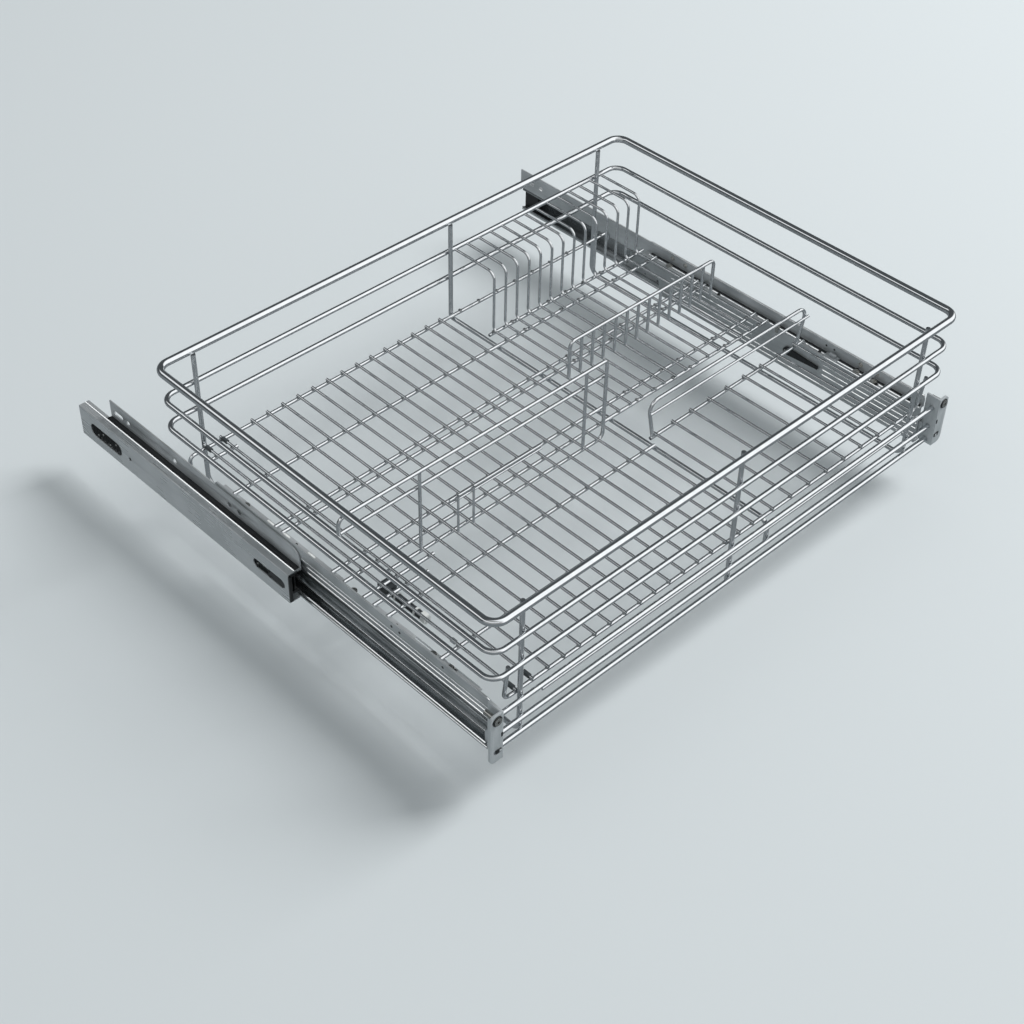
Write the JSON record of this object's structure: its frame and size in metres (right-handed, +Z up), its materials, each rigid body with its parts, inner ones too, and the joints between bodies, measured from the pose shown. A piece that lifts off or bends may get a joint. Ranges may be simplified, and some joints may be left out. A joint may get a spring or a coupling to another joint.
{
  "type": "pull-out dish basket",
  "caption": "Chromed wire pull-out dish basket with plate rack, divider and guard, on ball-bearing runners with side plates, for a base cabinet.",
  "frame": {"origin": "middle of the width, at the front ends of the cabinet rails, on the centre line of the runners", "axes": "+Z up, +Y towards the rear of the cabinet, +X to the right; the basket is pulled out towards -Y, and at rest it is pulled out 262 mm as in the picture"},
  "size_m": [0.664, 0.6315, 0.172],
  "materials": {
    "chromed_wire": "bright chrome plating on round steel wire",
    "zinc_rail": "zinc-plated rolled steel sheet, satin",
    "zinc_bracket": "zinc-plated pressed steel sheet, satin",
    "grey_connector": "silver-grey powder-coated die casting",
    "black_plastic": "black moulded acetal, smooth",
    "bearing_steel": "ground bearing steel",
    "nickel_screw": "nickel-plated steel",
    "damper_body": "dark grey moulded nylon"
  },
  "bodies": {
    "cabinet_side": {"cabinet_rail_left": "zinc_rail", "cabinet_rail_right": "zinc_rail", "side_plate_left": "zinc_bracket", "side_plate_right": "zinc_bracket", "rail_guard_left": "black_plastic", "rail_guard_right": "black_plastic", "rear_buffers": "black_plastic"},
    "intermediate": {"intermediate_rail_left": "zinc_rail", "intermediate_rail_right": "zinc_rail", "intermediate_stop_left": "black_plastic", "intermediate_stop_right": "black_plastic"},
    "outer_cages": {"outer_ball_cage_left": "zinc_rail", "outer_ball_cage_right": "zinc_rail", "outer_balls_left": "bearing_steel", "outer_balls_right": "bearing_steel"},
    "inner_cages": {"inner_ball_cage_left": "zinc_rail", "inner_ball_cage_right": "zinc_rail", "inner_balls_left": "bearing_steel", "inner_balls_right": "bearing_steel"},
    "damper_rod": {"damper_rod": "chromed_wire"},
    "left_lever": {"release_lever_left": "black_plastic"},
    "right_lever": {"release_lever_right": "black_plastic"},
    "drawer": {"back_floor_rod": "chromed_wire", "centre_frame": "chromed_wire", "comb_hoop": "chromed_wire", "comb_wires": "chromed_wire", "compartment_wires": "chromed_wire", "cross_rods": "chromed_wire", "damper_clamp": "damper_body", "damper_cylinder": "damper_body", "divider_hoop": "chromed_wire", "divider_posts": "chromed_wire", "divider_rail": "chromed_wire", "drawer_rail_left": "zinc_rail", "drawer_rail_right": "zinc_rail", "end_wires": "chromed_wire", "floor_wires": "chromed_wire", "front_connector_left": "grey_connector", "front_connector_right": "grey_connector", "front_floor_rod": "chromed_wire", "front_inner_rod": "chromed_wire", "front_post": "chromed_wire", "front_rods": "chromed_wire", "guard_hoop": "chromed_wire", "guard_rail": "chromed_wire", "left_cross_rods": "chromed_wire", "lever_pins": "nickel_screw", "lower_ring": "chromed_wire", "rack_wires": "chromed_wire", "right_cross_rods": "chromed_wire", "rim": "chromed_wire", "screws": "nickel_screw", "side_bracket_left": "zinc_bracket", "side_bracket_right": "zinc_bracket", "side_frame_left": "chromed_wire", "side_frame_right": "chromed_wire", "spoon_rest": "chromed_wire", "upper_ring": "chromed_wire", "wire_sleeves": "black_plastic"}
  },
  "joints": [
    {"name": "intermediate_slide", "type": "slide", "parent": "cabinet_side", "child": "intermediate", "axis": [0, -1, 0], "range_m": [0, 0.088]},
    {"name": "drawer_slide", "type": "slide", "parent": "intermediate", "child": "drawer", "axis": [0, -1, 0], "range_m": [-0.262, 0]},
    {"name": "outer_cage_roll", "type": "slide", "parent": "cabinet_side", "child": "outer_cages", "axis": [0, -1, 0], "range_m": [0, 0.044]},
    {"name": "inner_cage_roll", "type": "slide", "parent": "intermediate", "child": "inner_cages", "axis": [0, -1, 0], "range_m": [-0.131, 0]},
    {"name": "damper_stroke", "type": "slide", "parent": "drawer", "child": "damper_rod", "axis": [0, 1, 0], "range_m": [0, 0.032]},
    {"name": "left_lever_turn", "type": "hinge", "parent": "drawer", "child": "left_lever", "pos_m": [-0.3094, -0.0838, 0.006], "axis": [1, 0, 0], "range_deg": [-8, 8], "stiffness_Nm_per_rad": 0.05},
    {"name": "right_lever_turn", "type": "hinge", "parent": "drawer", "child": "right_lever", "pos_m": [0.3094, -0.0838, 0.006], "axis": [1, 0, 0], "range_deg": [-8, 8], "stiffness_Nm_per_rad": 0.05}
  ],
  "couplings": [
    {"joint": "outer_cage_roll", "follows": "intermediate_slide", "ratio": 0.5},
    {"joint": "inner_cage_roll", "follows": "drawer_slide", "ratio": 0.5}
  ]
}
